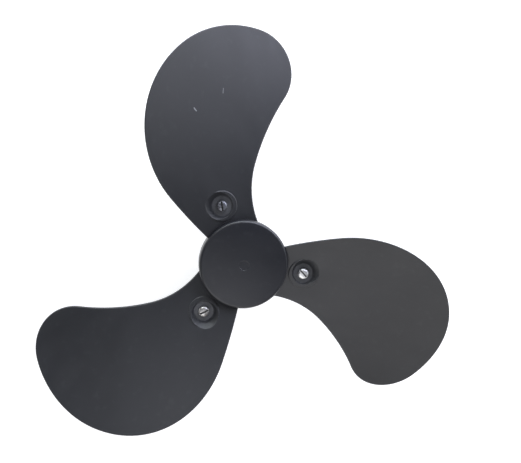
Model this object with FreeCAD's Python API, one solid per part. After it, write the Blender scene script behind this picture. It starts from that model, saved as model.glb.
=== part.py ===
import FreeCAD, Part
import math
import os

# Three-leaf pedestal fan blade set: three moulded leaves screwed to a three-armed
# cast hub, with a round cap pushed over the hub's front. Millimetres, +Z along the
# shaft axis towards the front, z = 0 on the plane where the leaves seat on the hub.

Vec = FreeCAD.Vector
AXIS_Z = Vec(0, 0, 1)
ORIGIN = Vec(0, 0, 0)

# Leaf layout
LEAF_COUNT = 3
LEAF_BEARING_DEG = 109.0          # direction of the first leaf's root centre line

# Leaf outline, as tangent arcs from the leading root corner round to the trailing root
LEAD_ROOT_RADIAL = 41.4           # distance of the outline's start from the shaft axis
LEAD_ROOT_BEARING_DEG = -37.1     # its direction, seen from the leaf's centre line
LEAD_HEADING_DEG = -0.8           # direction in which the leading edge sets off
LEAD_ROOT_RADIUS = 76.6           # hollow arc of the leading edge next to the hub
LEAD_ROOT_TURN_DEG = 35.7
LEAD_RADIUS = 195.3               # long hollow arc of the leading edge
LEAD_TURN_DEG = 18.4
TIP_RADIUS = 35.8                 # round corner at the front of the tip
TIP_TURN_DEG = 112.5
LOBE_OUTER_RADIUS = 75.7          # outer part of the round trailing lobe
LOBE_OUTER_TURN_DEG = 53.5
LOBE_RADIUS = 89.9                # main part of the trailing lobe
LOBE_TURN_DEG = 86.7
TRAIL_RADIUS = 405.0              # nearly straight run back to the hub
TRAIL_TURN_DEG = 8.9
ROOT_RUN_IN = 9.0                 # straight run of the leading edge under the cap

# Leaf front surface, set by its height and slopes where the centre line is half way out
MID_RADIUS = 102.1
MID_HEIGHT = 17.3
RAKE = 0.1875                     # forward slope of the centre line, mm per mm
RAKE_BOW = 0.000327               # how fast that slope grows, per mm
PITCH_MID = 0.3965                # slope across the leaf, mm per mm
PITCH_GAIN = 0.00264              # how fast the pitch grows outwards, per mm
PITCH_FALL = 0.0000054            # how that growth falls off, per mm squared
CAMBER = 0.00085                  # hollow of the front face across the leaf, per mm

# Leaf thickness and its stiffening on the back
LEAF_THICK_MID = 2.6
LEAF_THICK_TAPER = 0.006          # loss of thickness per mm outwards
LEAF_EDGE_BEVEL = 0.6
RIB_WIDTH = 2.2
RIB_REACH = 118.0                 # radius where the ribs run out
RIB_DEPTH = 5.0                   # depth of a rib where it leaves the root block
RIB_SPREAD = 11.0                 # distance of the outer ribs from the centre line

# Leaf root block, which seats on the hub arm
SCREW_RADIUS_OUTER = 53.8         # distance of the visible screw from the shaft axis
SCREW_RADIUS_INNER = 26.5         # distance of the screw under the cap
BLOCK_WIDTH = 33.0
BLOCK_INNER_END = 16.5
BLOCK_WALL = 2.6
TONGUE_THICK = 6.0                # plastic under each screw head
TONGUE_STEP = 1.0                 # room between the flat tongue and the cap's wall
CORE_ROOF = 3.0                   # plastic left over the cored pockets
SCREW_BOSS_RADIUS = 6.2

# Screw recess in the leaf's front
FLOOR_RADIUS = 8.5
MOUTH_RADIUS = 11.4
COLLAR_RADIUS = 13.1
COLLAR_HEIGHT = 0.9
COLLAR_ROUND = 0.6
INNER_SEAT_RADIUS = 7.0

# Cast hub
BORE_RADIUS = 6.0
BOSS_RADIUS = 14.0
BOSS_REAR = -24.0
SPIGOT_RADIUS = 12.0
SPIGOT_FRONT = 7.5
PLATE_RADIUS = 31.0
PLATE_THICK = 4.5
ARM_RIB_WIDTH = 6.0
ARM_RIB_DEPTH = 9.0
ARM_BOSS_RADIUS = 6.5
ARM_BOSS_DEPTH = 8.0
ARM_MARGIN = 0.5                  # how far the arm stays inside the leaf's root block
BOSS_CHAMFER = 1.0

# Hub cap
CAP_RADIUS = 38.6
CAP_SHOULDER = 11.0               # height where the cap's wall turns into its face
CAP_EDGE_ROUND = 2.8
CAP_DOME = 1.7
CAP_WALL = 2.0
CAP_SKIRT_END = -0.5
CAP_NOTCH_CLEAR = 0.4             # room between a notch in the skirt and its leaf
CAP_SOCKET_WALL = 2.0
CAP_SOCKET_CLEAR = 0.1
CAP_GATE_RADIUS = 4.2             # shallow round mark in the middle of the face
CAP_GATE_DEPTH = 0.35
CAP_RIB_WIDTH = 1.6
CAP_RIB_FOOT = 4.0
CAP_SOCKET_FOOT = 0.6
CATCH_HEIGHT = 3.0                 # groove on the spigot that the bead of the cap drops into
CATCH_WIDTH = 1.6
CATCH_DEPTH = 0.5

# Screws, M5 with slotted pan heads, and their spring washers
THREAD_RADIUS = 2.5
THREAD_CLEAR = 0.05               # half the play between a screw and its tapped hole
HOLE_CLEAR = 0.3                  # play all round a screw in the leaf
HEAD_RADIUS = 4.65
HEAD_HEIGHT = 3.0
HEAD_BEVEL = 1.3
SLOT_WIDTH = 1.3
SLOT_DEPTH = 1.4
OUTER_SCREW_LENGTH = 16.0
INNER_SCREW_LENGTH = 12.0
SCREW_TIP_CHAMFER = 0.6
WASHER_RADIUS = 4.5
WASHER_THICK = 1.2
WASHER_GAP = 1.0
SLOT_DIRECTIONS_DEG = (98.0, 25.0, -50.0)

# Set screw that locks the hub on its shaft
SET_SCREW_RADIUS = 3.0
SET_SCREW_LENGTH = 7.0
SET_SCREW_HEIGHT = -15.0
SET_SCREW_BEARING_DEG = 169.0
SET_SCREW_SOCKET = 1.5            # half the width across flats of its hexagon socket
SET_SCREW_SOCKET_DEPTH = 3.0

# Working limits
SURFACE_START = 10.0              # stretch of centre line that the leaf surface covers
SURFACE_END = 215.0
SURFACE_HALF_WIDTH = 125.0
TOOL_REACH = 60.0                 # height of cutting tools, more than the leaf's depth
CUT_PAST = 1.0                    # how far a short cutting tool runs past what it cuts


def polar(radius, bearing_deg, z=0.0):
    """Point at a distance and direction from the shaft axis."""
    angle = math.radians(bearing_deg)
    return Vec(radius * math.cos(angle), radius * math.sin(angle), z)


def screw_stations():
    """Distances of a leaf's two screws from the shaft axis."""
    return SCREW_RADIUS_INNER, SCREW_RADIUS_OUTER


def front_height(x, y):
    """Height of the leaf's front surface above the seat plane."""
    out = x - MID_RADIUS
    rake = MID_HEIGHT + RAKE * out + RAKE_BOW * out * out
    pitch = PITCH_MID + PITCH_GAIN * out - PITCH_FALL * out * out
    return rake + pitch * y + CAMBER * y * y


def leaf_thickness(x):
    """Thickness of the leaf, falling evenly towards the tip."""
    return LEAF_THICK_MID - LEAF_THICK_TAPER * (x - MID_RADIUS)


def back_height(x, y):
    """Height of the leaf's back surface."""
    return front_height(x, y) - leaf_thickness(x)


def rib_height(x, y):
    """Height of the ribs' lower edge, which meets the back surface at RIB_REACH."""
    run = (RIB_REACH - x) / (RIB_REACH - rib_start())
    return back_height(x, y) - RIB_DEPTH * run


def rib_start():
    """Radius where the ribs leave the root block."""
    return SCREW_RADIUS_OUTER + BLOCK_WIDTH / 2


def quadric_patch(height, lift=0.0):
    """Exact patch of a height formula that is quadratic along and across the leaf."""
    x0, x2 = SURFACE_START, SURFACE_END
    y0, y2 = -SURFACE_HALF_WIDTH, SURFACE_HALF_WIDTH
    xs = (x0, (x0 + x2) / 2, x2)
    ys = (y0, (y0 + y2) / 2, y2)

    def middle(start, centre, end):
        return (4 * centre - start - end) / 2

    rows = [[height(x, y) + lift for y in ys] for x in xs]
    rows = [[r[0], middle(*r), r[2]] for r in rows]
    rows[1] = [middle(rows[0][i], rows[1][i], rows[2][i]) for i in range(3)]
    patch = Part.BezierSurface()
    patch.increase(2, 2)
    for i, x in enumerate(xs):
        for j, y in enumerate(ys):
            patch.setPole(i + 1, j + 1, Vec(x, y, rows[i][j]))
    return patch.toShape()


def under_surface(height, lift=0.0):
    """Solid that fills the space below a height formula."""
    return quadric_patch(height, lift).extrude(Vec(0, 0, -2 * TOOL_REACH))


def tangent_arc(start, heading, radius, turn):
    """Arc from a start point and heading; a positive turn bends left. Radians."""
    side = math.copysign(1.0, turn)
    normal = Vec(-math.sin(heading), math.cos(heading), 0) * side
    centre = start + normal * radius

    def at(swing):
        angle = heading + swing
        back = Vec(math.sin(angle), -math.cos(angle), 0) * side
        return centre + back * radius

    edge = Part.Arc(start, at(turn / 2), at(turn)).toShape()
    return edge, at(turn), heading + turn


def leaf_outline():
    """Closed outline of one leaf, its centre line along +X, seen from the front."""
    runs = (
        (LEAD_ROOT_RADIUS, -LEAD_ROOT_TURN_DEG),
        (LEAD_RADIUS, -LEAD_TURN_DEG),
        (TIP_RADIUS, TIP_TURN_DEG),
        (LOBE_OUTER_RADIUS, LOBE_OUTER_TURN_DEG),
        (LOBE_RADIUS, LOBE_TURN_DEG),
        (TRAIL_RADIUS, TRAIL_TURN_DEG),
    )
    point = polar(LEAD_ROOT_RADIAL, LEAD_ROOT_BEARING_DEG)
    heading = math.radians(LEAD_HEADING_DEG)
    inner = point - Vec(math.cos(heading), math.sin(heading), 0) * ROOT_RUN_IN
    edges = [Part.LineSegment(inner, point).toShape()]
    for radius, turn_deg in runs:
        edge, point, heading = tangent_arc(point, heading, radius, math.radians(turn_deg))
        edges.append(edge)
    edges.append(Part.LineSegment(point, inner).toShape())
    return Part.Wire(edges)


def prism(wire, z0, z1):
    """Upright solid on a flat outline drawn at z = 0."""
    face = Part.Face(wire)
    face.translate(Vec(0, 0, z0))
    return face.extrude(Vec(0, 0, z1 - z0))


def stadium(x0, x1, half_width):
    """Outline with round ends from x0 to x1 about the centre line."""
    a, b = x0 + half_width, x1 - half_width
    up, down = Vec(0, half_width, 0), Vec(0, -half_width, 0)
    pa, pb = Vec(a, 0, 0), Vec(b, 0, 0)
    return Part.Wire([
        Part.LineSegment(pa + down, pb + down).toShape(),
        Part.Arc(pb + down, Vec(x1, 0, 0), pb + up).toShape(),
        Part.LineSegment(pb + up, pa + up).toShape(),
        Part.Arc(pa + up, Vec(x0, 0, 0), pa + down).toShape(),
    ])


def disc(radius, z0, z1, x=0.0, y=0.0):
    """Upright round bar from z0 to z1."""
    return Part.makeCylinder(radius, z1 - z0, Vec(x, y, z0), AXIS_Z)


def leaf_plate():
    """The curved plate of one leaf: its outline cut from a tapering slab."""
    outline = prism(leaf_outline(), -TOOL_REACH, TOOL_REACH)
    slab = under_surface(front_height).cut(under_surface(back_height))
    return outline.common(slab)


def bevel_rim(plate):
    """Bevel the plate's rim on both faces, outside the hub cap."""
    rim = []
    for edge in plate.Edges:
        low, high = edge.ParameterRange
        middle = edge.valueAt((low + high) / 2)
        if math.hypot(middle.x, middle.y) < LEAD_ROOT_RADIAL:
            continue
        tangent = edge.tangentAt((low + high) / 2)
        if abs(tangent.z) < 0.9:
            rim.append(edge)
    return plate.makeChamfer(LEAF_EDGE_BEVEL, rim)


def leaf_block():
    """Cored root block on the leaf's back, with a boss round each screw."""
    half = BLOCK_WIDTH / 2
    end = rib_start()
    outer = prism(stadium(BLOCK_INNER_END, end, half), 0, TOOL_REACH)
    outer = outer.common(under_surface(front_height, -LEAF_THICK_MID / 2))
    tongue = prism(stadium(BLOCK_INNER_END, end, half), 0, TONGUE_THICK)
    block = outer.fuse(tongue.common(disc(CAP_RADIUS - CAP_WALL - TONGUE_STEP, 0, TONGUE_THICK)))
    pocket = stadium(BLOCK_INNER_END + BLOCK_WALL, end - BLOCK_WALL, half - BLOCK_WALL)
    core = prism(pocket, -CUT_PAST, TOOL_REACH)
    core = core.common(under_surface(front_height, -LEAF_THICK_MID / 2 - CORE_ROOF))
    for x in screw_stations():
        core = core.cut(disc(SCREW_BOSS_RADIUS, -2 * CUT_PAST, TOOL_REACH, x))
    inner_seat = disc(INNER_SEAT_RADIUS + CORE_ROOF, -2 * CUT_PAST, TOOL_REACH, SCREW_RADIUS_INNER)
    core = core.cut(inner_seat)
    web = Part.makeBox(end, RIB_WIDTH, 2 * TOOL_REACH, Vec(0, -RIB_WIDTH / 2, -TOOL_REACH))
    core = core.cut(web)
    return block.cut(core)


def leaf_ribs():
    """Three ribs that run out along the back of the leaf."""
    depth = under_surface(front_height, -LEAF_THICK_MID / 2).cut(under_surface(rib_height))
    start = rib_start() - BLOCK_WIDTH / 2
    strips = []
    for y in (-RIB_SPREAD, 0.0, RIB_SPREAD):
        corner = Vec(start, y - RIB_WIDTH / 2, -TOOL_REACH)
        strips.append(Part.makeBox(RIB_REACH - start, RIB_WIDTH, 2 * TOOL_REACH, corner))
    strips = strips[0].multiFuse(strips[1:])
    seat = disc(BLOCK_WIDTH / 2, -TOOL_REACH, 0, SCREW_RADIUS_OUTER)
    return strips.common(depth).cut(seat)


def screw_collar():
    """Low collar with a rounded shoulder round the visible screw's recess."""
    bar = disc(COLLAR_RADIUS, TONGUE_THICK / 2, TOOL_REACH, SCREW_RADIUS_OUTER)
    collar = bar.common(under_surface(front_height, COLLAR_HEIGHT))
    top = max(collar.Faces, key=lambda face: face.CenterOfMass.z)
    return collar.makeFillet(COLLAR_ROUND, top.Edges)


def leaf():
    """One moulded leaf, its centre line along +X."""
    shape = bevel_rim(leaf_plate()).multiFuse([leaf_block(), leaf_ribs(), screw_collar()])
    floor = disc(FLOOR_RADIUS, TONGUE_THICK, TOOL_REACH, SCREW_RADIUS_OUTER)
    lip = front_height(SCREW_RADIUS_OUTER, 0) + COLLAR_HEIGHT
    slope = (MOUTH_RADIUS - FLOOR_RADIUS) / (lip - TONGUE_THICK)
    top = FLOOR_RADIUS + slope * (TOOL_REACH - TONGUE_THICK)
    funnel = Part.makeCone(FLOOR_RADIUS, top, TOOL_REACH - TONGUE_THICK,
                           Vec(SCREW_RADIUS_OUTER, 0, TONGUE_THICK), AXIS_Z)
    inner = disc(INNER_SEAT_RADIUS, TONGUE_THICK, TOOL_REACH, SCREW_RADIUS_INNER)
    hole = THREAD_RADIUS + HOLE_CLEAR
    tools = [disc(hole, -TOOL_REACH, TOOL_REACH, x) for x in screw_stations()]
    tools += [funnel, inner, disc(CAP_RADIUS - CAP_WALL, -TOOL_REACH, 0)]
    return shape.cut(floor.multiFuse(tools)).removeSplitter()


def turned(profile):
    """Solid of revolution about the shaft axis from closed (radius, z) edges."""
    return Part.Face(Part.Wire(profile)).revolve(ORIGIN, AXIS_Z, 360)


def line(r0, z0, r1, z1):
    """Straight edge of a turned profile."""
    return Part.LineSegment(Vec(r0, 0, z0), Vec(r1, 0, z1)).toShape()


def quarter(r, z, radius):
    """Rounded corner of a turned profile, from its wall (r, z) up to its face."""
    reach = radius * math.sqrt(0.5)
    middle = Vec(r - radius + reach, 0, z + reach)
    return Part.Arc(Vec(r, 0, z), middle, Vec(r - radius, 0, z + radius)).toShape()


def dome(r, z, rise):
    """Shallow crown of a turned profile, from radius r at height z to the axis."""
    sphere = (r * r + rise * rise) / (2 * rise)
    middle = Vec(r / 2, 0, z + rise - sphere + math.sqrt(sphere * sphere - r * r / 4))
    return Part.Arc(Vec(r, 0, z), middle, Vec(0, 0, z + rise)).toShape()


def cap_outside():
    """Solid with the cap's straight wall, rounded edge and domed face."""
    top = CAP_SHOULDER + CAP_EDGE_ROUND
    return turned([
        line(0, CAP_SKIRT_END, CAP_RADIUS, CAP_SKIRT_END),
        line(CAP_RADIUS, CAP_SKIRT_END, CAP_RADIUS, CAP_SHOULDER),
        quarter(CAP_RADIUS, CAP_SHOULDER, CAP_EDGE_ROUND),
        dome(CAP_RADIUS - CAP_EDGE_ROUND, top, CAP_DOME),
        line(0, top + CAP_DOME, 0, CAP_SKIRT_END),
    ])


def cap_inside(roof):
    """Solid that hollows the cap out: straight wall, bevelled corner, roof cone from its edge height."""
    radius = CAP_RADIUS - CAP_WALL
    bevel = CAP_EDGE_ROUND / 2
    foot = CAP_SKIRT_END - CUT_PAST
    return turned([
        line(0, foot, radius, foot),
        line(radius, foot, radius, roof - bevel),
        line(radius, roof - bevel, radius - bevel, roof),
        line(radius - bevel, roof, 0, roof + CAP_DOME),
        line(0, roof + CAP_DOME, 0, foot),
    ])


def ring(outer, inner, z0, z1, x=0.0):
    """Flat ring about an upright axis."""
    return disc(outer, z0, z1, x).cut(disc(inner, z0 - CUT_PAST, z1 + CUT_PAST, x))


def at_leaf(shape, index):
    """Copy of a shape built on +X, turned to one leaf's bearing."""
    placed = shape.copy()
    placed.rotate(ORIGIN, AXIS_Z, leaf_bearing(index))
    return placed


def leaf_bearing(index):
    """Direction of one leaf's centre line."""
    return LEAF_BEARING_DEG + 360.0 / LEAF_COUNT * index


def hub_arm():
    """One arm of the hub along +X: flange, gusset and tapped bosses."""
    end = rib_start() - ARM_MARGIN
    half = BLOCK_WIDTH / 2 - ARM_MARGIN
    flange = prism(stadium(-half, end, half), -PLATE_THICK, 0)
    outline = [
        Vec(0, 0, -PLATE_THICK / 2),
        Vec(end - half / 2, 0, -PLATE_THICK / 2),
        Vec(end - half / 2, 0, -PLATE_THICK - ARM_BOSS_DEPTH / 4),
        Vec(BOSS_RADIUS, 0, -PLATE_THICK - ARM_RIB_DEPTH),
        Vec(0, 0, -PLATE_THICK - ARM_RIB_DEPTH),
    ]
    gusset = Part.Face(Part.makePolygon(outline + outline[:1]))
    gusset.translate(Vec(0, -ARM_RIB_WIDTH / 2, 0))
    arm = flange.fuse(gusset.extrude(Vec(0, ARM_RIB_WIDTH, 0)))
    bosses = [disc(ARM_BOSS_RADIUS, -ARM_BOSS_DEPTH, -PLATE_THICK / 2, x) for x in screw_stations()]
    return arm.multiFuse(bosses)


def hub():
    """Cast hub: bored boss, front spigot for the cap and one arm for each leaf."""
    body = disc(PLATE_RADIUS, -PLATE_THICK, 0)
    body = body.multiFuse([at_leaf(hub_arm(), i) for i in range(LEAF_COUNT)])
    barrel = turned([
        line(0, BOSS_REAR, BOSS_RADIUS - BOSS_CHAMFER, BOSS_REAR),
        line(BOSS_RADIUS - BOSS_CHAMFER, BOSS_REAR, BOSS_RADIUS, BOSS_REAR + BOSS_CHAMFER),
        line(BOSS_RADIUS, BOSS_REAR + BOSS_CHAMFER, BOSS_RADIUS, -PLATE_THICK / 2),
        line(BOSS_RADIUS, -PLATE_THICK / 2, 0, -PLATE_THICK / 2),
        line(0, -PLATE_THICK / 2, 0, BOSS_REAR),
    ])
    spigot = disc(SPIGOT_RADIUS, -PLATE_THICK / 2, SPIGOT_FRONT)
    body = body.multiFuse([barrel, spigot]).removeSplitter()
    groove_floor = SPIGOT_RADIUS - CATCH_DEPTH
    groove = ring(SPIGOT_RADIUS + CUT_PAST, groove_floor, CATCH_HEIGHT, CATCH_HEIGHT + CATCH_WIDTH)
    bore = disc(BORE_RADIUS, BOSS_REAR - CUT_PAST, SPIGOT_FRONT + CUT_PAST)
    tapped = THREAD_RADIUS + THREAD_CLEAR
    tools = [groove, bore, set_screw_hole()]
    for index in range(LEAF_COUNT):
        for x in screw_stations():
            tools.append(at_leaf(disc(tapped, -TOOL_REACH, TOOL_REACH, x), index))
    return body.cut(tools[0].multiFuse(tools[1:]))


def radial_bar(radius, r0, r1, height, bearing_deg):
    """Round bar that points away from the shaft axis."""
    out = polar(1.0, bearing_deg)
    return Part.makeCylinder(radius, r1 - r0, out * r0 + Vec(0, 0, height), out)


def set_screw_hole():
    """Tapped hole from the bore out through the boss."""
    radius = SET_SCREW_RADIUS + THREAD_CLEAR
    return radial_bar(radius, 0, BOSS_RADIUS + CUT_PAST, SET_SCREW_HEIGHT, SET_SCREW_BEARING_DEG)


def set_screw():
    """Headless screw, its tip just clear of the bore, with a hexagon socket."""
    tip = BORE_RADIUS + HOLE_CLEAR
    end = tip + SET_SCREW_LENGTH
    bar = radial_bar(SET_SCREW_RADIUS, tip, end, SET_SCREW_HEIGHT, SET_SCREW_BEARING_DEG)
    corner = SET_SCREW_SOCKET / math.cos(math.pi / 6)
    turns = [k * math.pi / 3 for k in range(7)]
    points = [Vec(0, corner * math.cos(turn), corner * math.sin(turn)) for turn in turns]
    socket = Part.Face(Part.makePolygon(points)).extrude(Vec(SET_SCREW_SOCKET_DEPTH + CUT_PAST, 0, 0))
    socket.translate(Vec(end - SET_SCREW_SOCKET_DEPTH, 0, SET_SCREW_HEIGHT))
    socket.rotate(ORIGIN, AXIS_Z, SET_SCREW_BEARING_DEG)
    return bar.cut(socket)


def hub_cap():
    """Round cap: domed face, skirt notched over the leaves, socket on the spigot."""
    outer = cap_outside()
    roof = CAP_SHOULDER + CAP_EDGE_ROUND - CAP_WALL
    bore = SPIGOT_RADIUS + CAP_SOCKET_CLEAR
    socket = ring(bore + CAP_SOCKET_WALL, bore, CAP_SOCKET_FOOT, roof + CAP_DOME + CAP_WALL / 2)
    bead_low = CATCH_HEIGHT + CAP_SOCKET_CLEAR
    bead_high = CATCH_HEIGHT + CATCH_WIDTH - CAP_SOCKET_CLEAR
    bead = ring(bore + CAP_SOCKET_WALL / 2, bore - CATCH_DEPTH, bead_low, bead_high)
    inside = [socket, bead]
    for index in range(LEAF_COUNT):
        length = CAP_RADIUS - CAP_WALL / 2 - bore - CAP_SOCKET_WALL / 2
        corner = Vec(bore + CAP_SOCKET_WALL / 2, -CAP_RIB_WIDTH / 2, CAP_RIB_FOOT)
        rib = Part.makeBox(length, CAP_RIB_WIDTH, roof + CAP_WALL / 2 - CAP_RIB_FOOT, corner)
        rib.rotate(ORIGIN, AXIS_Z, leaf_bearing(index + 0.5))
        inside.append(rib)
    cap = outer.cut(cap_inside(roof)).multiFuse([part.common(outer) for part in inside])
    crown = CAP_SHOULDER + CAP_EDGE_ROUND + CAP_DOME
    gate = disc(CAP_GATE_RADIUS, crown - CAP_GATE_DEPTH, crown + CUT_PAST)
    notch = prism(leaf_outline().makeOffset2D(CAP_NOTCH_CLEAR), -TOOL_REACH, TOOL_REACH)
    notch = notch.common(under_surface(front_height, CAP_NOTCH_CLEAR))
    return cap.cut(gate.multiFuse([at_leaf(notch, i) for i in range(LEAF_COUNT)]))


def pan_screw(length, slot_deg, x):
    """Slotted pan-head screw standing on its washer over a leaf's tongue."""
    seat = TONGUE_THICK + WASHER_THICK
    top = seat + HEAD_HEIGHT
    tip = seat - length
    screw = turned([
        line(0, tip, THREAD_RADIUS - SCREW_TIP_CHAMFER, tip),
        line(THREAD_RADIUS - SCREW_TIP_CHAMFER, tip, THREAD_RADIUS, tip + SCREW_TIP_CHAMFER),
        line(THREAD_RADIUS, tip + SCREW_TIP_CHAMFER, THREAD_RADIUS, seat),
        line(THREAD_RADIUS, seat, HEAD_RADIUS, seat),
        line(HEAD_RADIUS, seat, HEAD_RADIUS, top - HEAD_BEVEL),
        line(HEAD_RADIUS, top - HEAD_BEVEL, HEAD_RADIUS - HEAD_BEVEL, top),
        line(HEAD_RADIUS - HEAD_BEVEL, top, 0, top),
        line(0, top, 0, tip),
    ])
    reach = HEAD_RADIUS + CUT_PAST
    corner = Vec(-reach, -SLOT_WIDTH / 2, top - SLOT_DEPTH)
    slot = Part.makeBox(2 * reach, SLOT_WIDTH, SLOT_DEPTH + CUT_PAST, corner)
    slot.rotate(ORIGIN, AXIS_Z, slot_deg)
    screw = screw.cut(slot)
    screw.translate(Vec(x, 0, 0))
    return screw


def spring_washer(x):
    """Split ring, flattened under a screw head."""
    hole = THREAD_RADIUS + THREAD_CLEAR
    washer = ring(WASHER_RADIUS, hole, TONGUE_THICK, TONGUE_THICK + WASHER_THICK, x)
    corner = Vec(x, -WASHER_GAP / 2, TONGUE_THICK - CUT_PAST)
    split = Part.makeBox(WASHER_RADIUS + CUT_PAST, WASHER_GAP, WASHER_THICK + 2 * CUT_PAST, corner)
    return washer.cut(split)


def pieces():
    """Every piece of the blade set by name."""
    named = {"hub_casting": hub(), "hub_cap": hub_cap(), "set_screw": set_screw()}
    one_leaf = leaf()
    stations = (
        ("blade", SCREW_RADIUS_OUTER, OUTER_SCREW_LENGTH),
        ("root", SCREW_RADIUS_INNER, INNER_SCREW_LENGTH),
    )
    for index in range(LEAF_COUNT):
        number = index + 1
        named[f"blade_{number}"] = at_leaf(one_leaf, index)
        for place, x, length in stations:
            slot = SLOT_DIRECTIONS_DEG[index] - leaf_bearing(index)
            named[f"{place}_screw_{number}"] = at_leaf(pan_screw(length, slot, x), index)
            named[f"{place}_washer_{number}"] = at_leaf(spring_washer(x), index)
    return named


os.makedirs("parts", exist_ok=True)
for name, shape in pieces().items():
    shape.exportStep(f"parts/{name}.step")
    print(name, len(shape.Solids), round(shape.Volume, 1), shape.isValid())
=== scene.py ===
import logging
import math
from dataclasses import dataclass
from enum import Enum
from typing import Sequence

import bmesh
import bpy
import numpy as np
from mathutils import Matrix, Vector


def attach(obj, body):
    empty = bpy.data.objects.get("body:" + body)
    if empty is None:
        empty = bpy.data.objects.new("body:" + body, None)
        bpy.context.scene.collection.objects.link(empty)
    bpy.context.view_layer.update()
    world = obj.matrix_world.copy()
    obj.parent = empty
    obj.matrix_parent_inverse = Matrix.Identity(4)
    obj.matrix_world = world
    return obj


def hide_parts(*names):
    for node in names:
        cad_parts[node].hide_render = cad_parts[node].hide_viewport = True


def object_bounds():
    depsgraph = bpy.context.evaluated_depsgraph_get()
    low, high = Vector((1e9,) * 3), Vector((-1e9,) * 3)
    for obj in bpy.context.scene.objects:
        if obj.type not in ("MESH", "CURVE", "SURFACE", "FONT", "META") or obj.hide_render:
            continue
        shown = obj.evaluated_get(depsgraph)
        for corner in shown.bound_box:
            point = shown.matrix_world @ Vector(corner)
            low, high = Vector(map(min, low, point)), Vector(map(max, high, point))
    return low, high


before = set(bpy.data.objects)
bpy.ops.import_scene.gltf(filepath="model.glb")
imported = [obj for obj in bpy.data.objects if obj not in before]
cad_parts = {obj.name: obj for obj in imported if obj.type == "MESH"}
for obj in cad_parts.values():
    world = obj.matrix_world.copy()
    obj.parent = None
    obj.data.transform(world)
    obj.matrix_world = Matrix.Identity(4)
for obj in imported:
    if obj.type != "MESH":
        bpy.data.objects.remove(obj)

CAD_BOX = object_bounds()

LOG = logging.getLogger("fan_blade")
MM = 0.001

# Sizes of the blade set, repeated from the model in millimetres
LEAF_NUMBERS = (1, 2, 3)
FIRST_LEAF_BEARING_DEG = 109.0
SCREW_RADIUS_OUTER = 53.8
WASHER_TOP = 7.2
SLOT_DIRECTIONS_DEG = (98.0, 25.0, -50.0)
BORE_RADIUS = 6.0
BOSS_REAR = -24.0

# The photograph's width in pixels, and the sensor width in millimetres that stands for it
PHOTO_WIDTH = 521
SENSOR_WIDTH = 36.0

Colour = tuple[float, float, float]
Socket = bpy.types.NodeSocket

WHITE: Colour = (1.0, 1.0, 1.0)


class Coat(Enum):
    """Named surface looks of the one plating that the screws share, lighter or darker as each head
    catches light: the bright coat is a painted highlight, the dull coat painted shade, the mottled coat
    between them.
    """

    BRIGHT_LIT = "bright"
    DULL_SHADED = "dull"
    MOTTLED = "mottled"


def leaf_bearing(number: int) -> float:
    """Direction of a leaf's centre line.

    Args:
        number: The leaf, 1 to 3.

    Returns:
        Its bearing from +X in degrees.
    """
    return FIRST_LEAF_BEARING_DEG + 360.0 / len(LEAF_NUMBERS) * (number - 1)


def link(name: str, data: bpy.types.ID) -> bpy.types.Object:
    """Put a mesh, a lamp or a camera into the scene as an object at the origin.

    Args:
        name: The new object's name.
        data: What the object shows.

    Returns:
        The new object.
    """
    thing = bpy.data.objects.new(name, data)
    bpy.context.scene.collection.objects.link(thing)
    return thing


def smooth(mesh: bpy.types.Mesh, sharp_angle_deg: float) -> None:
    """Shade a mesh smoothly, and keep its sharp edges sharp.

    Args:
        mesh: The mesh to shade.
        sharp_angle_deg: Turn between two faces from which their edge stays sharp.
    """
    mesh.polygons.foreach_set("use_smooth", np.ones(len(mesh.polygons), dtype=bool))
    mesh.set_sharp_from_angle(angle=math.radians(sharp_angle_deg))


@dataclass(frozen=True)
class Noise:
    """Cloudy pattern: features to a metre, octaves, and the strength of the fine octaves."""

    scale: float
    detail: float = 2.0
    roughness: float = 0.5


@dataclass(frozen=True)
class Ramp:
    """Smooth step that turns low to high into start to end, and is held at both ends."""

    low: float
    high: float
    start: float = 0.0
    end: float = 1.0


@dataclass(frozen=True)
class Relief:
    """Relief shown by the normal alone: its full height in metres, and the share that shows."""

    height: float
    share: float = 1.0


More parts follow.
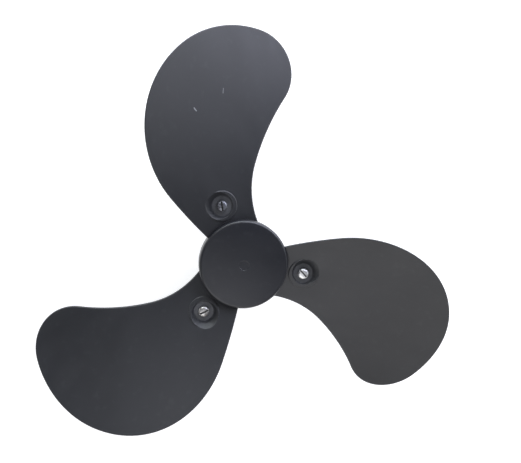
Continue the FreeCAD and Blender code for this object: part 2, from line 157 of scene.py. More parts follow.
class Graph:
    """Shader nodes of one material or world, added and wired in code."""

    BEVEL_SAMPLES = 6
    EDGE_COSINES = Ramp(0.995, 0.85)

    def __init__(self, tree: bpy.types.NodeTree) -> None:
        """Take over a node tree and empty it.

        Args:
            tree: The tree of a material or a world.
        """
        self.tree = tree
        tree.nodes.clear()

    def add(self, kind: str, settings: dict | None = None, inputs: dict | None = None) -> bpy.types.Node:
        """Add one node.

        Args:
            kind: The node's type, without the ShaderNode prefix.
            settings: Properties set on the node.
            inputs: Socket name or index to a value or to another node's socket.

        Returns:
            The new node.
        """
        node = self.tree.nodes.new("ShaderNode" + kind)
        for name, value in (settings or {}).items():
            setattr(node, name, value)
        for name, value in (inputs or {}).items():
            self.feed(node.inputs[name], value)
        return node

    def feed(self, socket: Socket, value: object) -> None:
        """Give a socket a link, a number or a colour.

        Args:
            socket: The input to set.
            value: A socket to link from, or a plain value.
        """
        if isinstance(value, bpy.types.NodeSocket):
            self.tree.links.new(value, socket)
        elif socket.type == "RGBA" and not isinstance(value, (int, float)):
            socket.default_value = (*value[:3], 1.0)
        else:
            socket.default_value = value

    def math(self, operation: str, first: object, second: object = 0.0) -> Socket:
        """Combine two numbers.

        Args:
            operation: The Math node's operation.
            first: First number or socket.
            second: Second number or socket.

        Returns:
            The result's socket.
        """
        return self.add("Math", {"operation": operation}, {0: first, 1: second}).outputs[0]

    def product(self, first: object, second: object) -> Socket:
        """Multiply two numbers.

        Args:
            first: First number or socket.
            second: Second number or socket.

        Returns:
            The result's socket.
        """
        return self.math("MULTIPLY", first, second)

    def blend(self, share: object, first: object, second: object) -> Socket:
        """Mix two colours.

        Args:
            share: How much of the second colour, 0 to 1.
            first: First colour or socket.
            second: Second colour or socket.

        Returns:
            The mixed colour's socket.
        """
        node = self.add("Mix", {"data_type": "RGBA"}, {0: share, 6: first, 7: second})
        return node.outputs[2]

    def spread(self, value: object, ramp: Ramp) -> Socket:
        """Map a number smoothly from one range onto another.

        Args:
            value: The number's socket.
            ramp: The two ranges.

        Returns:
            The mapped number's socket.
        """
        numbers = {0: value, 1: ramp.low, 2: ramp.high, 3: ramp.start, 4: ramp.end}
        return self.add("MapRange", {"interpolation_type": "SMOOTHSTEP"}, numbers).outputs[0]

    def noise(self, vector: object, pattern: Noise) -> Socket:
        """Add cloudy noise from 0 to 1.

        Args:
            vector: Coordinates in metres.
            pattern: The noise's scale and octaves.

        Returns:
            The noise value's socket.
        """
        inputs = {"Vector": vector, "Scale": pattern.scale, "Detail": pattern.detail}
        inputs["Roughness"] = pattern.roughness
        return self.add("TexNoise", None, inputs).outputs[0]

    def stretch(self, vector: object, factors: Sequence[float]) -> Socket:
        """Multiply coordinates along each axis.

        Args:
            vector: The coordinates' socket.
            factors: The factor along x, y and z.

        Returns:
            The stretched coordinates' socket.
        """
        return self.add("VectorMath", {"operation": "MULTIPLY"}, {0: vector, 1: factors}).outputs[0]

    def place(self, turn_deg: float = 0.0, centre: Sequence[float] = (0.0, 0.0, 0.0)) -> Socket:
        """Object coordinates turned about the shaft axis and centred on a piece.

        Args:
            turn_deg: Bearing that becomes the pattern's own x direction.
            centre: Point in the turned coordinates that becomes the origin, in metres.

        Returns:
            The coordinates' socket.
        """
        coords = self.add("TexCoord").outputs["Object"]
        turn = {"Vector": coords, "Rotation": (0.0, 0.0, -math.radians(turn_deg))}
        turned = self.add("Mapping", {"vector_type": "POINT"}, turn).outputs[0]
        return self.add("VectorMath", {"operation": "SUBTRACT"}, {0: turned, 1: centre}).outputs[0]

    def parts(self, vector: object) -> tuple[Socket, Socket, Socket]:
        """Split coordinates.

        Args:
            vector: The coordinates' socket.

        Returns:
            The x, y and z sockets.
        """
        outputs = self.add("SeparateXYZ", None, {0: vector}).outputs
        return outputs[0], outputs[1], outputs[2]

    def radius(self, vector: object) -> Socket:
        """Distance from the pattern's z axis, the root of x squared plus y squared.

        Args:
            vector: The coordinates' socket.

        Returns:
            The distance's socket.
        """
        flat = self.stretch(vector, (1.0, 1.0, 0.0))
        return self.add("VectorMath", {"operation": "LENGTH"}, {0: flat}).outputs["Value"]

    def rounded(self, width: float) -> Socket:
        """Normal that shows the edges as if they were rounded off.

        Args:
            width: Radius of the rounding in metres.

        Returns:
            The normal's socket.
        """
        return self.add("Bevel", {"samples": self.BEVEL_SAMPLES}, {"Radius": width}).outputs[0]

    def edge_mask(self, width: float) -> Socket:
        """How sharp the shape is near a point, from the turn of its rounded normal.

        Args:
            width: Distance from an edge that the mask reaches, in metres.

        Returns:
            The mask's socket, 0 on flat faces and near 1 at an edge.
        """
        soft = self.rounded(width)
        hard = self.add("NewGeometry").outputs["Normal"]
        cosine = self.add("VectorMath", {"operation": "DOT_PRODUCT"}, {0: soft, 1: hard}).outputs["Value"]
        return self.spread(cosine, self.EDGE_COSINES)

    def bump(self, height: object, relief: Relief, normal: Socket | None = None) -> Socket:
        """Turn a height into a surface normal.

        Args:
            height: Height socket, 0 to 1.
            relief: What 1 stands for.
            normal: Normal that this one is added to.

        Returns:
            The normal's socket.
        """
        inputs = {"Height": height, "Distance": relief.height, "Strength": relief.share}
        if normal is not None:
            inputs["Normal"] = normal
        return self.add("Bump", None, inputs).outputs[0]


def new_material(name: str) -> tuple[bpy.types.Material, Graph, bpy.types.Node]:
    """Start a material with a principled shader.

    Args:
        name: The material's name.

    Returns:
        The material, its graph and its shader node.
    """
    material = bpy.data.materials.new(name)
    material.use_nodes = True
    graph = Graph(material.node_tree)
    shader = graph.add("BsdfPrincipled")
    graph.add("OutputMaterial", None, {"Surface": shader.outputs[0]})
    return material, graph, shader


@dataclass(frozen=True)
class Scuff:
    """A short pale scuff mark on a leaf, placed in millimetres along and across the leaf."""

    along: float
    across: float
    turn_deg: float
    length: float
    width: float
    strength: float


@dataclass(frozen=True)
class Pin:
    """Mark of one ejector pin on a leaf's back, in millimetres along and across the leaf."""

    along: float
    across: float
    radius: float = 3.5


@dataclass(frozen=True)
class MouldedPlastic:
    """Satin charcoal plastic as it leaves a mould, with slight handling marks, edges lighter from wear
    and a painted highlight, and optional painted light round the screw seats.

    Widths and depths of its patterns are in metres.
    """

    name: str
    colour: Colour = (0.021, 0.022, 0.025)
    # Pale colour of wear, also used for the painted highlight on the edges and the painted light round
    # the screw seats.
    wear_and_light_colour: Colour = (0.13, 0.135, 0.145)
    scuff_colour: Colour = (0.42, 0.43, 0.45)
    roughness: float = 0.38
    refraction: float = 1.5
    soft_edge: float = 0.0008
    bearing_deg: float = 0.0
    # Share of pale colour round each screw seat: painted light that lifts the recess's shade, in dusty
    # patches.
    seat_dust_and_painted_light: float = 0.0
    scratch_share: float = 0.2
    scuffs: Sequence[Scuff] = ()
    pins: Sequence[Pin] = ()

    dark_share: float = 0.84
    cloud: Noise = Noise(14.0, 3.0)
    cloud_ramp: Ramp = Ramp(0.35, 0.65)
    mottle: Noise = Noise(160.0, 3.0)
    mottle_ramp: Ramp = Ramp(0.55, 0.8, 0.0, 0.05)

    edge_width: float = 0.0008
    edge_polish: float = 0.16
    # Noise and ramp of the lighter edges: wear and a painted highlight along the rims.
    edge_wear_and_sheen: Noise = Noise(240.0)
    edge_wear_and_sheen_ramp: Ramp = Ramp(0.3, 0.7, 0.1, 0.4)
    # Reach and patches of the painted light round each screw seat.
    dust_and_light_reach: Ramp = Ramp(0.0098, 0.0078)
    dust_and_light_patches: Ramp = Ramp(0.25, 0.75, 0.6, 1.0)

    smear: Noise = Noise(22.0, 4.0, 0.6)
    smear_stretch: Sequence[float] = (1.0, 3.0, 1.0)
    smear_ramp: Ramp = Ramp(0.25, 0.75, -0.04, 0.05)
    grain: Noise = Noise(2600.0, 2.0, 0.6)
    grain_relief: Relief = Relief(0.00001, 0.6)
    sink: Noise = Noise(28.0, 1.0)
    sink_relief: Relief = Relief(0.0001, 0.3)

    hairline: Noise = Noise(26.0, 1.0, 0.4)
    hairline_stretch: Sequence[float] = (1.0, 6.0, 1.0)
    hairline_ramp: Ramp = Ramp(0.0016, 0.0003)
    hairline_roughness: float = 0.5
    hairline_relief: Relief = Relief(-0.0001, 0.5)
    hairline_patch: Noise = Noise(30.0)
    hairline_patch_ramp: Ramp = Ramp(0.58, 0.72)

    fray: Noise = Noise(1500.0)
    fray_width: float = 0.0006
    scuff_full_length: float = 2 / 3
    scuff_full_width: float = 2 / 5
    pin_ramp: Ramp = Ramp(0.0004, 0.0001)
    pin_facing: Ramp = Ramp(-0.1, -0.5)
    pin_relief: Relief = Relief(-0.00025)

    def make(self) -> bpy.types.Material:
        """Build the material.

        Returns:
            The plastic, its patterns laid along the leaf at the given bearing.
        """
        material, g, shader = new_material(self.name)
        coords = g.place(self.bearing_deg)
        mottle = g.noise(coords, self.mottle)
        edge = g.edge_mask(self.edge_width)
        hairlines = self.hairlines(g, coords) if self.scratch_share else 0.0

        dark = tuple(self.dark_share * c for c in self.colour)
        body = g.blend(g.spread(g.noise(coords, self.cloud), self.cloud_ramp), dark, self.colour)
        body = g.blend(g.spread(mottle, self.mottle_ramp), body, self.wear_and_light_colour)
        # Lighter edges: wear in noisy patches and a painted highlight along the rims.
        edge_wear_and_sheen = g.product(edge, g.spread(g.noise(coords, self.edge_wear_and_sheen), self.edge_wear_and_sheen_ramp))
        body = g.blend(edge_wear_and_sheen, body, self.wear_and_light_colour)
        # Lighter round each screw seat: painted light over the recess's shade, in dusty patches.
        if self.seat_dust_and_painted_light:
            near = g.radius(g.place(self.bearing_deg, (SCREW_RADIUS_OUTER * MM, 0.0, 0.0)))
            dust_and_light = g.product(g.spread(near, self.dust_and_light_reach), g.spread(mottle, self.dust_and_light_patches))
            body = g.blend(g.product(dust_and_light, self.seat_dust_and_painted_light), body, self.wear_and_light_colour)
        body = g.blend(hairlines, body, self.wear_and_light_colour)
        body = g.blend(self.scuffed(g), body, self.scuff_colour)
        g.feed(shader.inputs["Base Color"], body)

        smear = g.noise(g.stretch(coords, self.smear_stretch), self.smear)
        rough = g.math("ADD", g.spread(smear, self.smear_ramp), self.roughness)
        rough = g.math("ADD", rough, g.product(hairlines, self.hairline_roughness))
        rough = g.math("SUBTRACT", rough, g.product(edge, self.edge_polish))
        g.feed(shader.inputs["Roughness"], rough)
        g.feed(shader.inputs["IOR"], self.refraction)

        normal = g.bump(g.noise(coords, self.grain), self.grain_relief, g.rounded(self.soft_edge))
        normal = g.bump(g.noise(coords, self.sink), self.sink_relief, normal)
        normal = g.bump(hairlines, self.hairline_relief, normal)
        normal = g.bump(self.pin_marks(g), self.pin_relief, normal)
        g.feed(shader.inputs["Normal"], normal)
        return material

    def hairlines(self, g: Graph, coords: Socket) -> Socket:
        """Sparse scratches: thin level lines of a stretched noise, kept only in patches.

        Args:
            g: The material's graph.
            coords: The pattern's coordinates.

        Returns:
            The socket of the scratch mask, times the share of the scratches.
        """
        stretched = g.noise(g.stretch(coords, self.hairline_stretch), self.hairline)
        level = g.math("ABSOLUTE", g.math("SUBTRACT", stretched, 0.5))
        patch = g.spread(g.noise(coords, self.hairline_patch), self.hairline_patch_ramp)
        line = g.product(g.spread(level, self.hairline_ramp), patch)
        return g.product(line, self.scratch_share)

    def scuffed(self, g: Graph) -> Socket | float:
        """Mask of the short rubs, each a soft oblong broken up by fine noise.

        Args:
            g: The material's graph.

        Returns:
            The mask's socket, or zero without rubs.
        """
        total = 0.0
        for mark in self.scuffs:
            centre = Matrix.Rotation(-math.radians(mark.turn_deg), 2) @ Vector((mark.along, mark.across))
            local = g.place(self.bearing_deg + mark.turn_deg, (centre.x * MM, centre.y * MM, 0.0))
            along, across, _ = g.parts(local)
            fray = g.product(g.math("SUBTRACT", g.noise(local, self.fray), 0.5), self.fray_width)
            far = g.math("ABSOLUTE", g.math("ADD", along, fray))
            side = g.math("ABSOLUTE", g.math("ADD", across, fray))
            half_length = mark.length * MM / 2
            half_width = mark.width * MM / 2
            long_mask = g.spread(far, Ramp(half_length, half_length * self.scuff_full_length))
            wide_mask = g.spread(side, Ramp(half_width, half_width * self.scuff_full_width))
            oblong = g.product(g.product(long_mask, wide_mask), mark.strength)
            total = g.math("MAXIMUM", total, oblong)
        return total

    def pin_marks(self, g: Graph) -> Socket:
        """Round witness lines of the mould's ejector pins, on the back only.

        Args:
            g: The material's graph.

        Returns:
            The mask's socket.
        """
        _, _, facing = g.parts(g.add("NewGeometry").outputs["Normal"])
        total = 0.0
        for pin in self.pins:
            near = g.radius(g.place(self.bearing_deg, (pin.along * MM, pin.across * MM, 0.0)))
            off = g.math("ABSOLUTE", g.math("SUBTRACT", near, pin.radius * MM))
            total = g.math("MAXIMUM", total, g.spread(off, self.pin_ramp))
        return g.product(total, g.spread(facing, self.pin_facing))


@dataclass(frozen=True)
class CastMetal:
    """Die-cast aluminium with a dull skin, and turned faces at the bore and the boss."""

    name: str = "cast_metal"
    skin: Colour = (0.42, 0.43, 0.44)
    stain: Colour = (0.16, 0.155, 0.15)
    turned: Colour = (0.62, 0.62, 0.63)
    edge_width: float = 0.0009
    cloud: Noise = Noise(90.0, 4.0, 0.6)
    cloud_ramp: Ramp = Ramp(0.4, 0.75)
    bore_ramp: Ramp = Ramp((BORE_RADIUS + 0.5) * MM, (BORE_RADIUS + 0.2) * MM)
    face_ramp: Ramp = Ramp((BOSS_REAR + 0.4) * MM, (BOSS_REAR + 0.1) * MM)
    skin_patch: Noise = Noise(300.0, 3.0)
    skin_roughness: Ramp = Ramp(0.3, 0.7, 0.42, 0.62)
    rings_rate: float = 9000.0
    turned_roughness: Ramp = Ramp(-1.0, 1.0, 0.22, 0.34)
    pits: Noise = Noise(900.0, 3.0, 0.7)
    pits_relief: Relief = Relief(0.00009, 0.7)
    waves: Noise = Noise(150.0)
    waves_relief: Relief = Relief(0.0003, 0.4)

    def make(self) -> bpy.types.Material:
        """Build the material.

        Returns:
            The cast metal, bright where it was turned.
        """
        material, g, shader = new_material(self.name)
        coords = g.place()
        _, _, up = g.parts(coords)
        out = g.radius(coords)
        cut = g.math("MAXIMUM", g.spread(out, self.bore_ramp), g.spread(up, self.face_ramp))
        body = g.blend(g.spread(g.noise(coords, self.cloud), self.cloud_ramp), self.skin, self.stain)
        body = g.blend(g.edge_mask(self.edge_width), body, self.turned)
        body = g.blend(cut, body, self.turned)
        g.feed(shader.inputs["Base Color"], body)
        g.feed(shader.inputs["Metallic"], 1.0)
        rough = g.spread(g.noise(coords, self.skin_patch), self.skin_roughness)
        rings = g.math("SINE", g.product(g.math("ADD", out, up), self.rings_rate))
        turned = g.spread(rings, self.turned_roughness)
        g.feed(shader.inputs["Roughness"], g.add("Mix", None, {0: cut, 2: rough, 3: turned}).outputs[0])
        pits = g.bump(g.noise(coords, self.pits), self.pits_relief)
        g.feed(shader.inputs["Normal"], g.bump(g.noise(coords, self.waves), self.waves_relief, pits))
        return material


@dataclass(frozen=True)
class PlatedSteel:
    """Zinc-plated steel of the screws and washers, with painted shade down in the slot of a screw that
    shows.
    """

    name: str
    bright: Colour = (0.70, 0.70, 0.70)
    tarnish: Colour = (0.30, 0.29, 0.28)
    roughness: float = 0.28
    tarnish_share: float = 0.25
    slot_bearing_deg: float | None = None
    # Painted shade in the slot: its colour, share, reach from the screw's axis and heights.
    slot_shade: Colour = (0.045, 0.043, 0.040)
    slot_shade_share: float = 0.9
    slot_shade_reach: Ramp = Ramp(0.0043, 0.0040)
    slot_shade_heights: Ramp = Ramp(0.0026, 0.0018)
    edge_width: float = 0.0003
    cloud: Noise = Noise(520.0, 4.0, 0.65)
    cloud_softness: float = 0.12
    level_without_tarnish: float = 0.75
    level_all_tarnished: float = 0.25
    cloud_roughness: Ramp = Ramp(0.3, 0.7, 0.0, 0.22)
    pits: Noise = Noise(3800.0, 3.0, 0.6)
    pits_relief: Relief = Relief(0.00002, 0.8)

    def make(self) -> bpy.types.Material:
        """Build the material.

        Returns:
            The plated steel, tarnished in patches and bright on its edges.
        """
        material, g, shader = new_material(self.name)
        coords = g.place()
        cloud = g.noise(coords, self.cloud)
        drop = self.level_without_tarnish - self.level_all_tarnished
        level = self.level_without_tarnish - drop * self.tarnish_share
        patches = g.spread(cloud, Ramp(level - self.cloud_softness, level + self.cloud_softness))
        body = g.blend(patches, self.bright, self.tarnish)
        body = g.blend(g.edge_mask(self.edge_width), body, self.bright)
        # Darker down in the screw's slot: painted shade.
        if self.slot_bearing_deg is not None:
            seat = g.place(self.slot_bearing_deg, (SCREW_RADIUS_OUTER * MM, 0.0, WASHER_TOP * MM))
            _, _, up = g.parts(seat)
            slot = g.product(g.spread(g.radius(seat), self.slot_shade_reach), g.spread(up, self.slot_shade_heights))
            body = g.blend(g.product(slot, self.slot_shade_share), body, self.slot_shade)
        g.feed(shader.inputs["Base Color"], body)
        g.feed(shader.inputs["Metallic"], 1.0)
        rough = g.math("ADD", g.spread(cloud, self.cloud_roughness), self.roughness)
        g.feed(shader.inputs["Roughness"], rough)
        g.feed(shader.inputs["Normal"], g.bump(g.noise(coords, self.pits), self.pits_relief))
        return material


@dataclass(frozen=True)
class BlackenedSteel:
    """Black oxide steel of the set screw."""

    name: str = "blackened_steel"
    oxide: Colour = (0.030, 0.030, 0.032)
    faded: Colour = (0.060, 0.056, 0.052)
    rubbed: Colour = (0.30, 0.30, 0.30)
    edge_width: float = 0.0003
    cloud: Noise = Noise(700.0, 3.0)
    cloud_ramp: Ramp = Ramp(0.35, 0.7)
    cloud_roughness: Ramp = Ramp(0.3, 0.7, 0.32, 0.5)
    cloud_relief: Relief = Relief(0.00003, 0.5)

    def make(self) -> bpy.types.Material:
        """Build the material.

        Returns:
            The blackened steel, rubbed brighter at its edges.
        """
        material, g, shader = new_material(self.name)
        cloud = g.noise(g.place(), self.cloud)
        body = g.blend(g.spread(cloud, self.cloud_ramp), self.oxide, self.faded)
        body = g.blend(g.edge_mask(self.edge_width), body, self.rubbed)
        g.feed(shader.inputs["Base Color"], body)
        g.feed(shader.inputs["Metallic"], 1.0)
        g.feed(shader.inputs["Roughness"], g.spread(cloud, self.cloud_roughness))
        g.feed(shader.inputs["Normal"], g.bump(cloud, self.cloud_relief))
        return material


def dress(node: str, material: bpy.types.Material) -> None:
    """Give a node of the model its finish.

    Args:
        node: The node's name.
        material: The finish for all its faces.
    """
    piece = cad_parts[node]
    for slot in piece.material_slots:
        slot.material = material
    LOG.info("%s wears %s", node, material.name)


@dataclass
class LeafSet:
    """The three moulded leaves."""

    roughness: float = 0.38
    # Strength of the painted light round each screw seat.
    seat_dust_and_painted_light: float = 0.55
    top_scuffs: Sequence[Scuff] = (
        Scuff(along=135.9, across=-6.3, turn_deg=18.0, length=4.2, width=1.2, strength=0.55),
        Scuff(along=143.0, across=-33.9, turn_deg=-25.5, length=5.0, width=0.9, strength=0.35),
    )
    pins: Sequence[Pin] = (Pin(92.0, 22.0), Pin(128.0, -18.0), Pin(158.0, 24.0))

    def dress(self) -> None:
        """Give each leaf plastic whose pattern follows its own centre line."""
        for number in LEAF_NUMBERS:
            scuffs = self.top_scuffs if number == LEAF_NUMBERS[0] else ()
            finish = MouldedPlastic(f"leaf_plastic_{number}", roughness=self.roughness,
                                    bearing_deg=leaf_bearing(number), seat_dust_and_painted_light=self.seat_dust_and_painted_light,
                                    scuffs=scuffs, pins=self.pins)
            dress(f"blade_{number}", finish.make())


@dataclass
class Hub:
    """The cast hub with its set screw, and the cap over its front."""

    cap_colour: Colour = (0.016, 0.017, 0.021)
    cap_roughness: float = 0.32
    cap_soft_edge: float = 0.0006
    join_distance: float = 0.00002
    sharp_angle_deg: float = 30.0

    def build(self) -> None:
        """Give the casting and the set screw their finishes, and put the smooth cap in its place."""
        dress("hub_casting", CastMetal().make())
        dress("set_screw", BlackenedSteel().make())
        plastic = MouldedPlastic("cap_plastic", colour=self.cap_colour, roughness=self.cap_roughness,
                                 soft_edge=self.cap_soft_edge, scratch_share=0.0).make()
        dress("hub_cap", plastic)
        shell = self.shell()
        shell.data.materials.clear()
        shell.data.materials.append(plastic)
        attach(shell, "root")
        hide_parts("hub_cap")
        LOG.info("%s stands for hub_cap", shell.name)

    def shell(self) -> bpy.types.Object:
        """Copy the cap with its triangles joined, so that the face shades as one smooth dome.

        Returns:
            The joined copy.
        """
        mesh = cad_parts["hub_cap"].data.copy()
        mesh.name = "cap_shell"
        joined = bmesh.new()
        joined.from_mesh(mesh)
        bmesh.ops.remove_doubles(joined, verts=joined.verts, dist=self.join_distance)
        bmesh.ops.dissolve_degenerate(joined, edges=joined.edges, dist=self.join_distance)
        joined.to_mesh(mesh)
        joined.free()
        stored = mesh.attributes.get("custom_normal")
        if stored is not None:
            mesh.attributes.remove(stored)
        smooth(mesh, self.sharp_angle_deg)
        return link("cap_shell", mesh)


@dataclass(frozen=True)
class PanScrew:
    """Slotted pan-head screw in millimetres, its head standing on z = 0 and its slot along x.

    The rows of the head lie beside each other from one side of the slot to the other. Beside the
    slot's edge they are placed in lips, and the outermost one stays short of the rim by its angle.
    """

    head_radius: float = 4.65
    head_height: float = 3.0
    rim_height: float = 1.1
    slot_width: float = 1.3
    slot_depth: float = 1.4
    slot_lip: float = 0.07
    rows_in_lips: Sequence[float] = (-1.0, -1 / 3, 1 / 3, 1.0, 3.0)
    first_crown_row_in_lips: float = 7.0
    crown_rows: int = 10
    outermost_row_angle: float = 1.51
    columns: int = 33
    thread_radius: float = 2.5
    thread_depth: float = 0.4
    pitch: float = 0.8
    length: float = 16.0
    point_length: float = 0.5
    point_shoulder: float = 0.1
    point_chamfer: float = 0.55
    segments: int = 40
    sharp_angle_deg: float = 38.0

    def head(self) -> tuple[np.ndarray, list[list[int]]]:
        """Make the head as rows of points that run along the slot.

        The crown's height is the rim plus the rest times the root of one minus the fourth power of the
        radius share, and inside the slot it is no higher than the slot's floor.

        Returns:
            The points and the faces.
        """
        edge, lip, full = self.slot_width / 2, self.slot_lip, self.head_radius
        walls = edge + lip * np.array(self.rows_in_lips)
        start = math.asin((edge + self.first_crown_row_in_lips * lip) / full)
        crown_rows = full * np.sin(np.linspace(start, self.outermost_row_angle, self.crown_rows))
        half = np.concatenate(([0.0, edge / 2], walls, crown_rows))
        rows = np.concatenate((-half[:0:-1], half))
        reach = np.sqrt(full ** 2 - rows ** 2)
        x = reach[:, None] * np.sin(np.linspace(-math.pi / 2, math.pi / 2, self.columns))[None, :]
        y = np.broadcast_to(rows[:, None], x.shape)
        share = np.clip(np.hypot(x, y) / full, 0.0, 1.0)
        crown = self.rim_height + (self.head_height - self.rim_height) * np.sqrt(1.0 - share ** 4)
        cut = np.clip((edge + lip - np.abs(y)) / (2 * lip), 0.0, 1.0)
        z = crown * (1 - cut) + np.minimum(crown, self.head_height - self.slot_depth) * cut
        top = np.stack((x, y, z), axis=-1).reshape(-1, 3)
        index = np.arange(len(top)).reshape(x.shape)
        quads = np.stack((index[:-1, :-1], index[:-1, 1:], index[1:, 1:], index[1:, :-1]), axis=-1)
        rim = np.concatenate((index[0, :-1], index[:-1, -1], index[-1, :0:-1], index[:0:-1, 0]))
        foot = top[rim] * (1.0, 1.0, 0.0)
        low = len(top) + np.arange(len(rim))
        wall = np.stack((low, np.roll(low, -1), np.roll(rim, -1), rim), axis=-1)
        faces = quads.reshape(-1, 4).tolist() + wall.tolist() + [low[::-1].tolist()]
        return np.concatenate((top, foot)), faces

    def shank(self) -> tuple[np.ndarray, list[list[int]]]:
        """Make the threaded shank as rings that step between the thread's crest and its root.

        Returns:
            The points and the faces.
        """
        steps = np.arange(0.0, self.length - self.pitch, self.pitch / 2)
        radii = self.thread_radius - self.thread_depth * (np.arange(len(steps)) % 2)
        point_radii = [self.thread_radius - self.point_shoulder, self.thread_radius - self.point_chamfer]
        radii = np.concatenate((radii, point_radii))
        depths = np.concatenate((steps, [self.length - self.point_length, self.length]))
        turn = np.linspace(0.0, 2 * math.pi, self.segments, endpoint=False)
        x = radii[:, None] * np.cos(turn)[None, :]
        y = radii[:, None] * np.sin(turn)[None, :]
        z = np.broadcast_to(-depths[:, None], x.shape)
        points = np.stack((x, y, z), axis=-1).reshape(-1, 3)
        index = np.arange(len(points)).reshape(x.shape)
        after = np.roll(index, -1, axis=1)
        quads = np.stack((index[:-1], index[1:], after[1:], after[:-1]), axis=-1).reshape(-1, 4)
        return points, quads.tolist() + [index[0].tolist(), index[-1][::-1].tolist()]

    def build(self, name: str, bearing_deg: float, slot_deg: float) -> bpy.types.Object:
        """Place the screw in its leaf.

        Args:
            name: The new object's name.
            bearing_deg: The leaf's bearing.
            slot_deg: Direction of the slot.

        Returns:
            The screw, its points in metres in the row frame.
        """
        head, head_faces = self.head()
        shank, shank_faces = self.shank()
        faces = head_faces + [[v + len(head) for v in face] for face in shank_faces]
        cosine = math.cos(math.radians(slot_deg))
        sine = math.sin(math.radians(slot_deg))
        turn = np.array([[cosine, sine, 0.0], [-sine, cosine, 0.0], [0.0, 0.0, 1.0]])
        bearing = math.radians(bearing_deg)
        out = np.array([math.cos(bearing), math.sin(bearing), 0.0])
        seat = SCREW_RADIUS_OUTER * out + (0.0, 0.0, WASHER_TOP)
        points = (np.concatenate((head, shank)) @ turn + seat) * MM
        mesh = bpy.data.meshes.new(name)
        mesh.from_pydata(points.tolist(), [], faces)
        smooth(mesh, self.sharp_angle_deg)
        return link(name, mesh)


@dataclass
class Fasteners:
    """The screws and washers that hold the leaves."""

    # All three screws are one plating: the first screw's dull coat is painted shade and the third's
    # bright coat a painted highlight.
    coats: Sequence[Coat] = (Coat.DULL_SHADED, Coat.MOTTLED, Coat.BRIGHT_LIT)

    def finish(self, coat: Coat, bearing_deg: float) -> PlatedSteel:
        """Choose the plating for a named look.

        Args:
            coat: The look.
            bearing_deg: Bearing of the leaf that the screw holds.

        Returns:
            The plated steel's finish.
        """
        # The colours of the bright coat paint a highlight, those of the dull coat paint shade.
        bright, tarnish, roughness, share = {
            Coat.BRIGHT_LIT: ((0.92, 0.92, 0.91), (0.55, 0.54, 0.52), 0.30, 0.0),
            Coat.DULL_SHADED: ((0.26, 0.27, 0.30), (0.09, 0.09, 0.10), 0.36, 0.5),
            Coat.MOTTLED: ((0.66, 0.65, 0.63), (0.16, 0.15, 0.14), 0.30, 0.45),
        }[coat]
        return PlatedSteel(f"plating_{coat.value}", bright, tarnish, roughness, share, bearing_deg)

    def build(self) -> None:
        """Model the screws that show, and give the rest their plating."""
        washers = PlatedSteel("washer_steel", bright=(0.42, 0.42, 0.42), tarnish=(0.12, 0.12, 0.12),
                              roughness=0.36, tarnish_share=0.4).make()
        plain = PlatedSteel("plating_plain", roughness=0.30, tarnish_share=0.35).make()
        for number, coat, slot_deg in zip(LEAF_NUMBERS, self.coats, SLOT_DIRECTIONS_DEG):
            node = f"blade_screw_{number}"
            screw = PanScrew().build(f"pan_screw_{number}", leaf_bearing(number), slot_deg)
            screw.data.materials.append(self.finish(coat, leaf_bearing(number)).make())
            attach(screw, "root")
            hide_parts(node)
            LOG.info("%s stands for %s", screw.name, node)
            dress(node, plain)
            dress(f"root_screw_{number}", plain)
            for place in ("blade", "root"):
                dress(f"{place}_washer_{number}", washers)


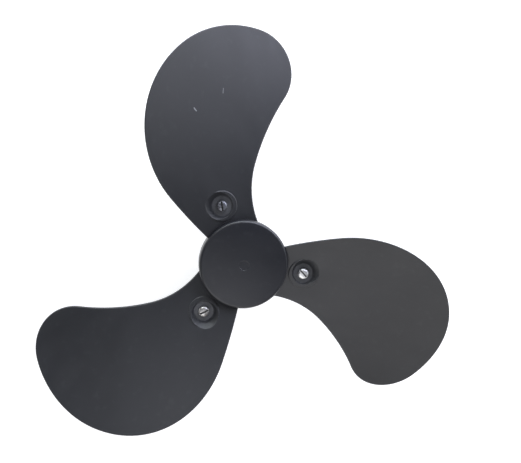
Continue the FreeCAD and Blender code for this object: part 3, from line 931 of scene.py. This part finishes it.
@dataclass
class Studio:
    """Pale floor, soft lamps and the camera at the photograph's viewpoint.

    The floor, the world and the lamps are in metres, and the camera's distance and offset are in
    millimetres, as the leaf's outline was fitted.
    """

    floor_reach: float = 40.0
    floor_colour: Colour = (0.80, 0.80, 0.80)
    floor_lift: Ramp = Ramp(0.3, 1.5, 0.66, 1.0)
    ceiling: Colour = (0.10, 0.105, 0.12)
    ceiling_heights: Ramp = Ramp(0.15, 0.45)
    lamp_distance: float = 1.8
    tilt_back: float = 0.1569
    tilt_side: float = 0.1309
    roll: float = 0.0124
    distance: float = 555.06
    scale: float = 1.1371
    offset: Sequence[float] = (-15.85, -9.76)
    shift_px: float = 20.0

    def build(self) -> None:
        """Make the floor, the world, the lamps and the camera."""
        self.floor()
        self.world()
        self.lamp("front_panel", -107.0, 42.0, (2.0, 1.4), 1.36, (1.0, 0.985, 0.985))
        self.lamp("front_high", -107.0, 68.0, (1.4, 1.0), 0.90, (0.92, 0.93, 1.0))
        self.lamp("window", 50.0, 20.0, (2.0, 1.4), 4.1, (0.78, 0.80, 1.0))
        self.lamp("side_window", 20.0, 20.0, (2.0, 1.4), 1.05, (0.93, 0.97, 1.0))
        self.lamp("back_strip", 98.0, 14.0, (2.2, 0.5), 6.6, (0.85, 0.94, 1.0))
        self.lamp("back_panel", 110.0, 42.0, (1.6, 1.2), 1.1, (1.0, 0.98, 0.98))
        self.camera()
        bpy.context.scene.view_settings.view_transform = "Standard"

    def lamp(self, name: str, bearing_deg: float, height_deg: float, size: Sequence[float],
             brightness: float, colour: Colour) -> None:
        """Add a soft panel aimed at the hub.

        Its power is pi times its area times its brightness, so brightness is what a mirror would show.

        Args:
            name: The lamp's name.
            bearing_deg: Its direction from +X.
            height_deg: Its height above the horizon.
            size: Its width and height in metres.
            brightness: Its brightness, where 1 is white.
            colour: Its colour.
        """
        light = bpy.data.lights.new(name, "AREA")
        light.shape = "RECTANGLE"
        light.size, light.size_y = size
        light.energy = math.pi * size[0] * size[1] * brightness
        light.color = colour
        bearing, height = math.radians(bearing_deg), math.radians(height_deg)
        flat = math.cos(height)
        toward = Vector((math.cos(bearing) * flat, math.sin(bearing) * flat, math.sin(height)))
        lamp = link(name, light)
        lamp.location = toward * self.lamp_distance
        lamp.rotation_euler = toward.to_track_quat("Z", "Y").to_euler()

    def world(self) -> None:
        """Soft surroundings: white walls round about and a dimmer bluish ceiling."""
        world = bpy.data.worlds.new("studio_surroundings")
        bpy.context.scene.world = world
        world.use_nodes = True
        g = Graph(world.node_tree)
        _, _, up = g.parts(g.add("TexCoord").outputs["Generated"])
        colour = g.blend(g.spread(up, self.ceiling_heights), WHITE, self.ceiling)
        background = g.add("Background", None, {"Color": colour, "Strength": 1.0})
        g.add("OutputWorld", None, {"Surface": background.outputs[0]})

    def floor(self) -> None:
        """Pale floor under the boss, white to the camera but for the object's shadow."""
        height = CAD_BOX[0].z
        sides = ((-1, -1), (1, -1), (1, 1), (-1, 1))
        corners = [(x * self.floor_reach, y * self.floor_reach, height) for x, y in sides]
        mesh = bpy.data.meshes.new("floor")
        mesh.from_pydata(corners, [], [(0, 1, 2, 3)])
        mesh.materials.append(self.floor_material())
        floor = link("floor", mesh)
        LOG.info("floor at %.4f m", height)

    def floor_material(self) -> bpy.types.Material:
        """Make the floor's matt white, with a lift that only eye, mirror and glass rays see.

        Returns:
            The floor's material.
        """
        material = bpy.data.materials.new("pale_floor")
        material.use_nodes = True
        g = Graph(material.node_tree)
        path = g.add("LightPath").outputs
        seen = g.math("MAXIMUM", path["Is Camera Ray"], path["Is Glossy Ray"])
        seen = g.math("MAXIMUM", seen, path["Is Transmission Ray"])
        glow = g.product(seen, g.spread(g.radius(g.place()), self.floor_lift))
        matt = g.add("BsdfDiffuse", None, {"Color": self.floor_colour})
        lift = g.add("Emission", None, {"Color": WHITE, "Strength": glow})
        both = g.add("AddShader", None, {0: matt.outputs[0], 1: lift.outputs[0]})
        g.add("OutputMaterial", None, {"Surface": both.outputs[0]})
        return material

    def camera(self) -> None:
        """Place the camera where the photograph was taken.

        The view turns about +Z, then +Y, then +X, and the lens axis passes beside the hub by the offset.
        """
        turn = (Matrix.Rotation(self.tilt_back, 3, "X") @ Matrix.Rotation(self.tilt_side, 3, "Y")
                @ Matrix.Rotation(self.roll, 3, "Z"))
        eye = turn.transposed() @ Vector((-self.offset[0], -self.offset[1], self.distance)) * MM
        data = bpy.data.cameras.new("photo_camera")
        data.sensor_width = SENSOR_WIDTH
        data.lens = self.scale * self.distance * SENSOR_WIDTH / PHOTO_WIDTH
        data.shift_y = self.shift_px / PHOTO_WIDTH
        camera = link("photo_camera", data)
        camera.matrix_world = Matrix.Translation(eye) @ turn.transposed().to_4x4()
        bpy.context.scene.camera = camera
        LOG.info("camera at %s", tuple(round(v, 4) for v in eye))


def main() -> None:
    """Dress the blade set and light it."""
    logging.basicConfig(level=logging.INFO, format="%(message)s")
    LeafSet().dress()
    Hub().build()
    Fasteners().build()
    Studio().build()


if __name__ == "__main__":
    main()
